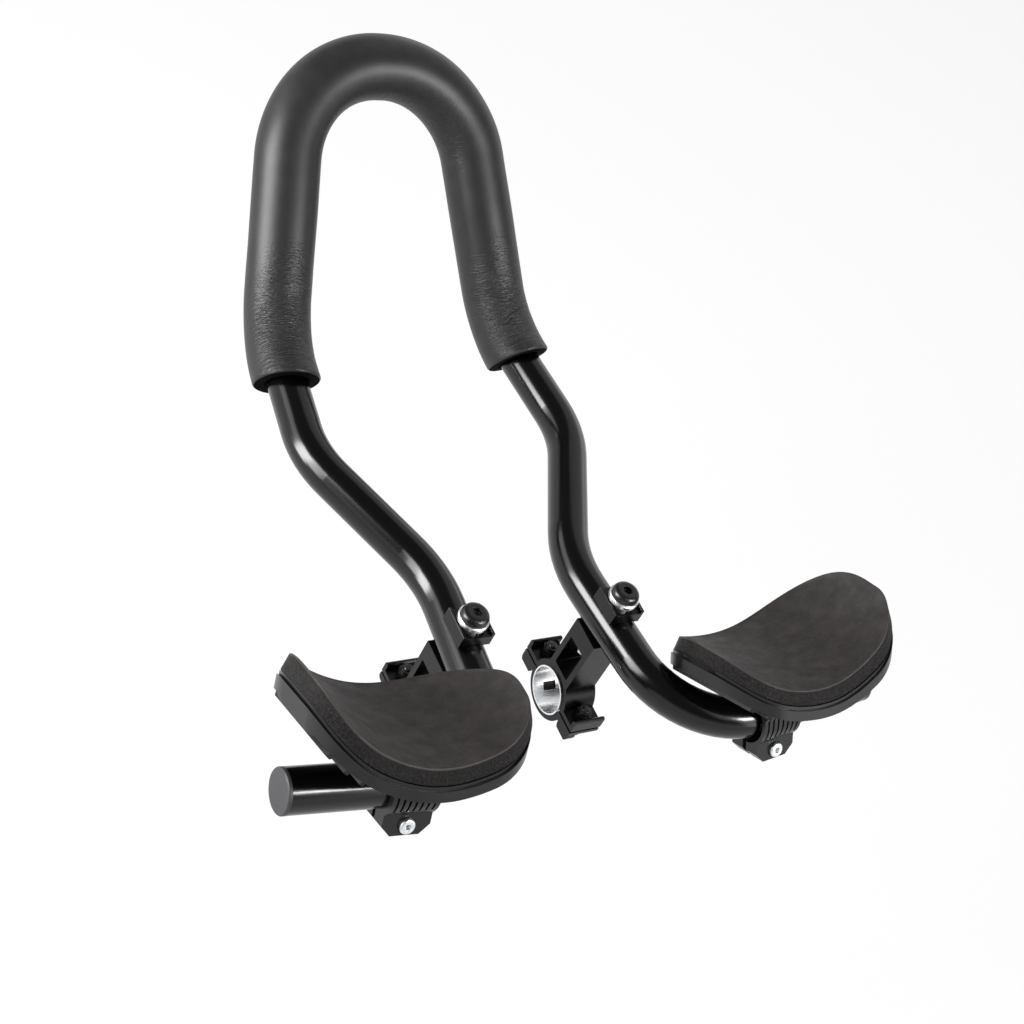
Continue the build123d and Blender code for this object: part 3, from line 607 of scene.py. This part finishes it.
def plan_outline(side):
    """A pad's outline in plan, evened in front and bowed at its sides, and its middle."""
    loop, middle = pad_wall(side)
    outline = evenly_spaced(loop)
    evened = list(outline)
    for _ in range(even_rounds):
        evened = [(evened[k - 1] + evened[(k + 1) % outline_points]) / 4 + p / 2
                  for k, p in enumerate(evened)]
    for k, (p, soft) in enumerate(zip(outline, evened)):
        ahead = 1 - bump_shape(max(0.0, p.y - middle.y + ahead_of), 0, ahead_of)
        bow = (outer_bow if p.x > middle.x else -inner_bow) * bump_shape(p.y, middle.y, side_reach)
        outline[k] = p.lerp(soft, ahead)
        if abs(p.x - middle.x) > side_reach:
            outline[k] += Vector((bow, 0))
    return outline, middle


print("right pad's outline starts at", [round(v / MM, 1) for v in plan_outline("right")[0][0]])

# %% Rings of a pad
# A ring is a share of the way from the middle to the outline, an outset from there, and a depth.
rim_round = 0.8 * MM
flare = 1.9 * MM
flare_end = 6.0 * MM
round_steps = 5
flare_steps = 6
top_shares = (0.0, 0.06, 0.16, 0.28, 0.40, 0.52, 0.63, 0.73, 0.81, 0.86, 0.90)
rim_insets = (2.6, 1.9, 1.3)
foot_lip = 0.6
foot_drops = (0.3 * MM, 0.4 * MM)

rings = [(share, 0.0, 0.0) for share in top_shares]
rings += [(1.0, -inset * MM, 0.0) for inset in rim_insets]
for step in range(round_steps + 1):
    angle = math.radians(90 * step / round_steps)
    rings.append((1.0, rim_round * (math.sin(angle) - 1), rim_round * (1 - math.cos(angle))))
for step in range(1, flare_steps + 1):
    share = step / flare_steps
    rings.append((1.0, flare * share, rim_round + (flare_end - rim_round) * share))
rings.append((1.0, flare * foot_lip, flare_end + foot_drops[0]))
rings.append((1.0, 0.0, flare_end + foot_drops[1]))
rings.append((1.0, 0.0, pad_thickness))
rings += [(share, 0.0, pad_thickness) for share in reversed(top_shares)]
print("rings of a pad:", len(rings))

# %% Shape the pads
crown = 0.4 * MM
crown_reach = 8 * MM
rim_rise = 0.35 * MM
rim_width = 1.8 * MM
lump_height = 0.3 * MM
lump_size = 17 * MM
merge_gap = 0.002 * MM
pad_edge_angle = 60


def ring_tube(name, points, count):
    """A tube of rings, one unit apart, made by extruding a circle."""
    bpy.ops.object.select_all(action="DESELECT")
    bpy.ops.mesh.primitive_circle_add(vertices=points, radius=1.0)
    piece = bpy.context.object
    piece.name = name
    bpy.ops.object.mode_set(mode="EDIT")
    bpy.ops.mesh.select_all(action="SELECT")
    for _ in range(count - 1):
        bpy.ops.mesh.extrude_edges_move(TRANSFORM_OT_translate={"value": (0, 0, 1)})
    bpy.ops.object.mode_set(mode="OBJECT")
    return piece


pads = []
for side in SIDES:
    flip, origin, axes = rest_frame(side)
    outline, middle = plan_outline(side)
    pad = ring_tube(f"pad_{side}", outline_points, len(rings))
    pad_place = pad.data.attributes.new("pad_place", "FLOAT_VECTOR", "POINT")
    for vertex in pad.data.vertices:
        share, outset, depth = rings[round(vertex.co.z)]
        turn = math.atan2(vertex.co.y, vertex.co.x) / math.tau
        k = round(turn * outline_points) % outline_points
        edge = outline[k]
        along = outline[(k + 1) % outline_points] - outline[k - 1]
        plan = middle.lerp(edge, share) + Vector((along.y, -along.x)).normalized() * outset
        drop = math.sqrt((trough_r + depth) ** 2 - (plan.x - trough_axis.x) ** 2)
        at = Vector((plan.x, plan.y, trough_axis.z - drop))
        pad_place.data[vertex.index].vector = (at.x, at.y, depth)
        if depth < rim_round:
            inset = (edge - middle).length * (1 - share) - outset
            lump = noise.noise(at / lump_size) * lump_height
            rise = min(1.0, inset / crown_reach) * (crown + lump)
            rise += bump_shape(inset, 0, rim_width) * rim_rise * (1 - depth / rim_round)
            at += Vector((trough_axis.x - at.x, 0, trough_axis.z - at.z)).normalized() * rise
        vertex.co = (axes.transposed() @ at + origin) * flip
    bpy.ops.object.mode_set(mode="EDIT")
    bpy.ops.mesh.select_all(action="SELECT")
    bpy.ops.mesh.remove_doubles(threshold=merge_gap)
    bpy.ops.mesh.normals_make_consistent(inside=False)
    bpy.ops.object.mode_set(mode="OBJECT")
    smooth_by_angle(pad, pad_edge_angle)
    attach(pad, f"{side}_armrest")
    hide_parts(f"arm_pad_{side}")
    pads.append(pad)
print("pads:", [(pad.name, len(pad.data.vertices)) for pad in pads])

# %% [markdown]
# ## Finishes
# Every finish starts from a real material and how its surface was made. Patterns are sized in
# millimetres, so that they keep their scale on the part from any distance.

# %% Grip foam
# Closed-cell rubber foam, extruded with a skin: dull charcoal with fine pores, and fine creases that
# run round the sleeve where a bend squeezes it. The cut ends show black open cells, and the few nicks are pressed
# in, with their grooves painted near black as painted shade.
crease_mm = (0.9, 3.6, 3.6)
patch_mm = 22
pore_mm = 0.5
mottle_mm = 9
creased_from, creased_to = 0.02, 0.22

grip_foam, tree, shader = new_finish("closed_cell_foam_extruded")
spot = object_place(tree)
squeezed, cut_face, nick_groove_shade = parts_of(tree, attribute_of(tree, "sleeve_state"))
creases = noise_of(tree, attribute_of(tree, "sleeve_place"), crease_mm, Detail=3.0, Distortion=0.5)
patches = noise_of(tree, spot, patch_mm, Detail=2.0)
where = ranged(tree, product(tree, squeezed, patches), creased_from, creased_to)
pores = noise_of(tree, spot, pore_mm, Detail=3.0)
pore_bump = bumped(tree, pores, 0.25, 0.12)
crease_bump = bumped(tree, product(tree, creases, where), 0.9, 0.9, pore_bump)
mottle = noise_of(tree, spot, mottle_mm, Detail=4.0)
tone = blend_colours(tree, mottle, "#2a2828", "#343232")
# Painted shade: the nicks' grooves are painted near black (#080808), standing in for the shade that falls in them.
tone = mixed(tree, nick_groove_shade, tone, linear("#080808"))
tone = mixed(tree, cut_face, tone, linear("#0a0a0a"))
rough = ranged(tree, cut_face, 0.0, 1.0, 0.42, 0.95)
shine = ranged(tree, cut_face, 0.0, 1.0, 0.35, 0.05)
feed(tree, shader, Base_Color=tone, Roughness=rough, Specular_IOR_Level=shine, Normal=crease_bump)
foam.data.materials.append(grip_foam)
print("made", grip_foam.name)

# %% Pad foam
# Moulded foam with a pressed skin: the top is smooth, brown-black and faintly clouded, the band round
# the side keeps a coarse grain and is darker as painted shade, and the rim between them is a little lighter.
cloud_mm = (9, 8, 8)
grain_mm = 1.1
skin_mm = 0.7
band_from, band_to = 0.5 * MM, 1.0 * MM
lighter_rim_middle, lighter_rim_end = 0.3 * MM, 1.0 * MM
lighter_rim_share = 0.6

pad_foam, tree, shader = new_finish("moulded_foam_pressed_skin")
spot = object_place(tree)
depth = parts_of(tree, attribute_of(tree, "pad_place"))["Z"]
band = ranged(tree, depth, band_from, band_to)
clouds = noise_of(tree, spot, cloud_mm, Detail=7.0, Roughness=0.7)
grain = noise_of(tree, spot, grain_mm, Detail=3.0, Roughness=0.6)
top_tone = blend_colours(tree, clouds, "#1a1615", "#383230", 0.32, 0.70)
# Painted shade: the side band's tones are darker than the top's, standing in for the shade on that side; the
# coarse grain in them is real.
band_grain_and_shade_tone = blend_colours(tree, grain, "#040303", "#2a2624", 0.38, 0.68)
tone = mixed(tree, band, top_tone, band_grain_and_shade_tone)
# The rim between top and band is made a little lighter (#5c5957) in a thin band that runs from the top's edge to 1
# mm down.
lighter_rim_start = ranged(tree, depth, 0.0, lighter_rim_middle)
lighter_rim_stop = ranged(tree, depth, lighter_rim_middle, lighter_rim_end, 1.0, 0.0)
lighter_rim = product(tree, product(tree, lighter_rim_start, lighter_rim_stop), lighter_rim_share)
tone = mixed(tree, lighter_rim, tone, linear("#5c5957"))
rough = ranged(tree, clouds, 0.0, 1.0, 0.78, 0.45)
shine = ranged(tree, band, 0.0, 1.0, 0.33, 0.18)
skin_bump = bumped(tree, noise_of(tree, spot, skin_mm, Detail=2.0), 0.15, 0.1)
grain_bump = bumped(tree, product(tree, grain, band), 1.0, 0.9, skin_bump)
feed(tree, shader, Base_Color=tone, Roughness=rough, Specular_IOR_Level=shine, Normal=grain_bump)
for pad in pads:
    pad.data.materials.append(pad_foam)
print("made", pad_foam.name)

# %% Lacquer
# Lacquer sprayed over a drawn tube: deep black, mirror-like, with a trace of orange peel.
peel_mm = 2.5

lacquer, tree, shader = new_finish("black_lacquer_sprayed_on_tube", Base_Color=linear("#050506"),
                                   Roughness=0.18, Specular_IOR_Level=0.42)
peel = noise_of(tree, object_place(tree), peel_mm, Detail=1.0)
feed(tree, shader, Normal=bumped(tree, peel, 0.04, 0.05))
print("made", lacquer.name)

# %% Plastics and metals
wander_mm = 12
wander_rough = 0.06


def moulded_finish(name, dark, light, roughness, grain_mm, strength, shine=0.5):
    """A moulded plastic: two close tones, a fine spark-eroded grain and a roughness that wanders."""
    material, tree, shader = new_finish(name, Specular_IOR_Level=shine)
    spot = object_place(tree)
    grain = noise_of(tree, spot, grain_mm, Detail=3.0)
    wander = noise_of(tree, spot, wander_mm, Detail=2.0)
    tone = blend_colours(tree, wander, dark, light)
    rough = ranged(tree, wander, 0.0, 1.0, roughness - wander_rough, roughness + wander_rough)
    bump = bumped(tree, grain, strength, 0.08)
    feed(tree, shader, Base_Color=tone, Roughness=rough, Normal=bump)
    return material


def metal_finish(name, dark, light, roughness, streak_mm):
    """A bare or plated metal: bright, with streaks of the given size along x, y and z."""
    material, tree, shader = new_finish(name, Metallic=1.0)
    streaks = noise_of(tree, object_place(tree), streak_mm, Detail=3.0)
    tone = blend_colours(tree, streaks, dark, light)
    rough = ranged(tree, streaks, 0.0, 1.0, roughness * 0.6, roughness * 1.4)
    bump = bumped(tree, streaks, 0.1, 0.03)
    feed(tree, shader, Base_Color=tone, Roughness=rough, Normal=bump)
    return material


finishes = {
    "bar_tube": lacquer,
    "end_cap": moulded_finish("polypropylene_moulded_matte", "#3e3e41", "#4b4b4e",
                              roughness=0.5, grain_mm=0.5, strength=0.2),
    "clamp_nylon": moulded_finish("glass_filled_nylon_moulded", "#0c0c0d", "#141416",
                                  roughness=0.28, grain_mm=0.4, strength=0.15, shine=0.22),
    "armrest_plastic": moulded_finish("abs_spark_eroded_satin", "#171718", "#222223",
                                      roughness=0.32, grain_mm=0.35, strength=0.25, shine=0.36),
    "shim_aluminium": metal_finish("aluminium_sheet_rolled_bright", "#d6d8da", "#f6f7f7",
                                   roughness=0.24, streak_mm=(4.0, 0.5, 0.5)),
    "zinc_steel": metal_finish("steel_zinc_plated", "#c9ccd0", "#eceeef",
                               roughness=0.36, streak_mm=(0.6, 0.6, 0.6)),
    "chrome_steel": metal_finish("steel_chrome_plated", "#dcdee0", "#f6f7f7",
                                 roughness=0.34, streak_mm=(1.5, 1.5, 0.4)),
    "black_steel": moulded_finish("steel_black_oxide", "#0b0b0c", "#141415",
                                  roughness=0.3, grain_mm=0.3, strength=0.1),
}
print("finishes:", sorted(finishes))

# %% [markdown]
# ## Dress the hard pieces
# Each frame node takes the finish of its slot. Moulded and pressed pieces have no knife edges, so
# modifiers round theirs: weld joins the faces, decimate clears the flats, bevel rounds what is sharp
# and weighted normals keep the flats even. Modifiers leave the node's own vertices alone.

# %% Dress the hard pieces
edge_of_slot = {"clamp_nylon": 0.35, "armrest_plastic": 0.35, "end_cap": 0.2, "black_steel": 0.2,
                "zinc_steel": 0.15}
flat_angle = 0.5
sharp_angle = 35
bevel_segments = 2
flat_weight = 60
slot_of = {part["node"]: part["material_slot"] for part in frame["record"]["subparts"]}


def soften_edges(node, width):
    """Rounds the sharp edges of a frame node by modifiers."""
    weld = node.modifiers.new("join_faces", "WELD")
    weld.merge_threshold = merge_gap
    flat = node.modifiers.new("clear_flats", "DECIMATE")
    flat.decimate_type = "DISSOLVE"
    flat.angle_limit = math.radians(flat_angle)
    bevel = node.modifiers.new("round_edges", "BEVEL")
    bevel.width = width * MM
    bevel.segments = bevel_segments
    bevel.limit_method = "ANGLE"
    bevel.angle_limit = math.radians(sharp_angle)
    shade = node.modifiers.new("even_shading", "WEIGHTED_NORMAL")
    shade.weight = flat_weight
    for face in node.data.polygons:
        face.use_smooth = True


softened = []
for name, node in nodes.items():
    if slot_of[name] in finishes:
        node.data.materials.clear()
        node.data.materials.append(finishes[slot_of[name]])
    if slot_of[name] in edge_of_slot:
        soften_edges(node, edge_of_slot[slot_of[name]])
        softened.append(name)
print("nodes with rounded edges:", len(softened))
